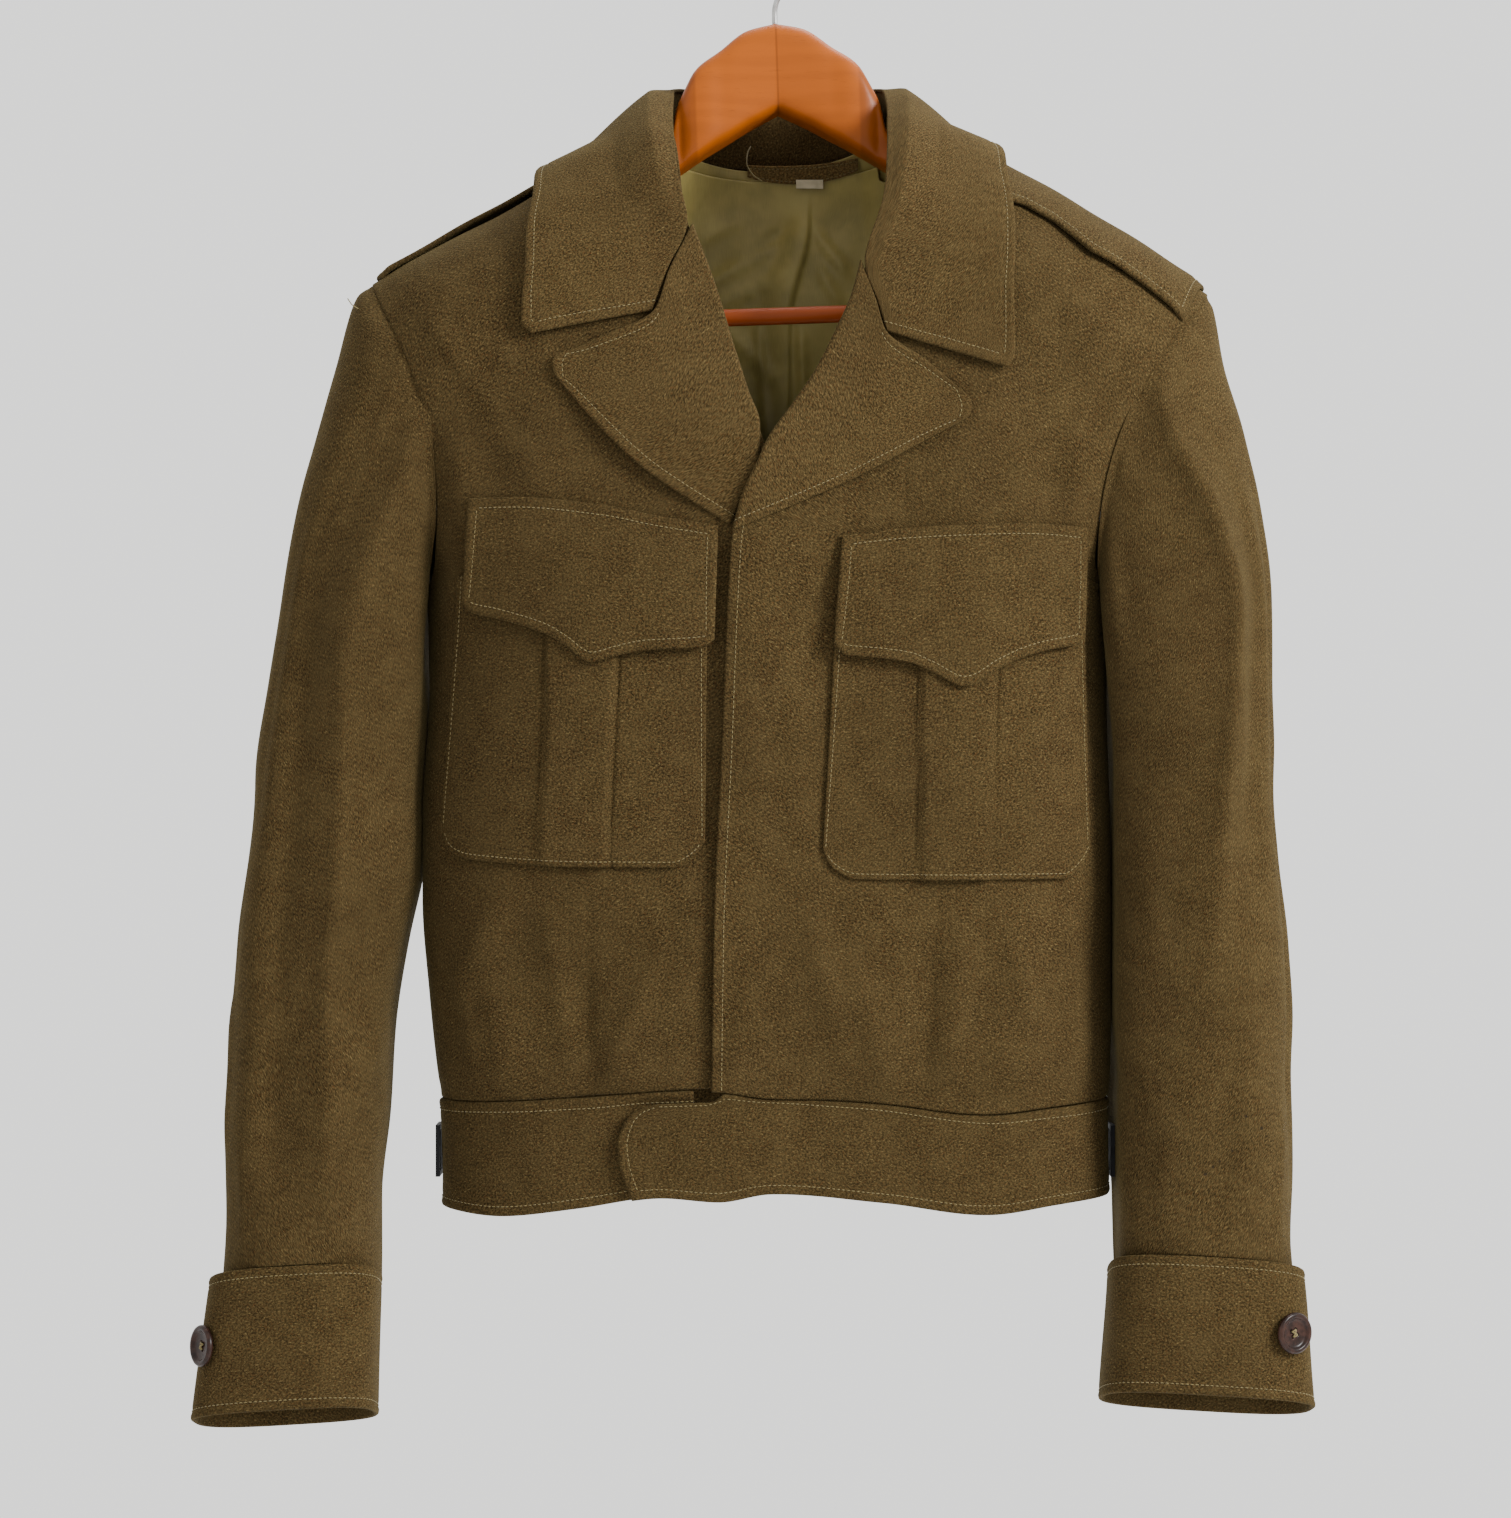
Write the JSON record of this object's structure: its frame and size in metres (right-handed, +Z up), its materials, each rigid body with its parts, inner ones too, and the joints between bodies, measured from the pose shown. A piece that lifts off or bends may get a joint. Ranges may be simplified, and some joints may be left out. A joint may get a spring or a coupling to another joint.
{
  "type": "ike jacket on a wooden hanger",
  "caption": "Short waist-length wool jacket with notched collar, flapped chest pockets and a fitted waistband, hanging open at the neck on a wooden hanger with a wire hook.",
  "frame": {"origin": "the inside top of the hanger hook's bend, where the hook rests on a rail", "axes": "+Z up, -Y is the jacket's front, +X is the wearer's left"},
  "size_m": [0.645, 0.1711, 0.885],
  "materials": {
    "wool": "olive-drab brown heather serge with a soft nap",
    "satin": "olive satin lining",
    "tape": "cream woven tape",
    "wood": "varnished honey-coloured wood",
    "dowel": "stained red-brown dowel",
    "steel": "dull steel wire",
    "black_metal": "blackened",
    "button": "dark brown, polished"
  },
  "bodies": {
    "root": {"back_panel": "wool", "front_left": "wool", "front_right": "wool", "sleeve_left": "wool", "sleeve_right": "wool", "cuff_left": "wool", "cuff_right": "wool", "collar_leaf": "wool", "collar_stand": "wool", "lapel_left": "wool", "lapel_right": "wool", "shoulder_strap_left": "wool", "shoulder_strap_right": "wool", "pocket_left": "wool", "pocket_right": "wool", "pocket_flap_left": "wool", "pocket_flap_right": "wool", "waistband_left": "wool", "waistband_right": "wool", "waistband_back": "wool", "neck_facing": "wool", "back_lining": "satin", "label_tab": "tape", "cuff_button_left": "button", "cuff_button_right": "button", "side_buckle_left": "black_metal", "side_buckle_right": "black_metal", "hanger": "wood", "trouser_bar": "dowel", "hook": "steel"}
  },
  "joints": []
}
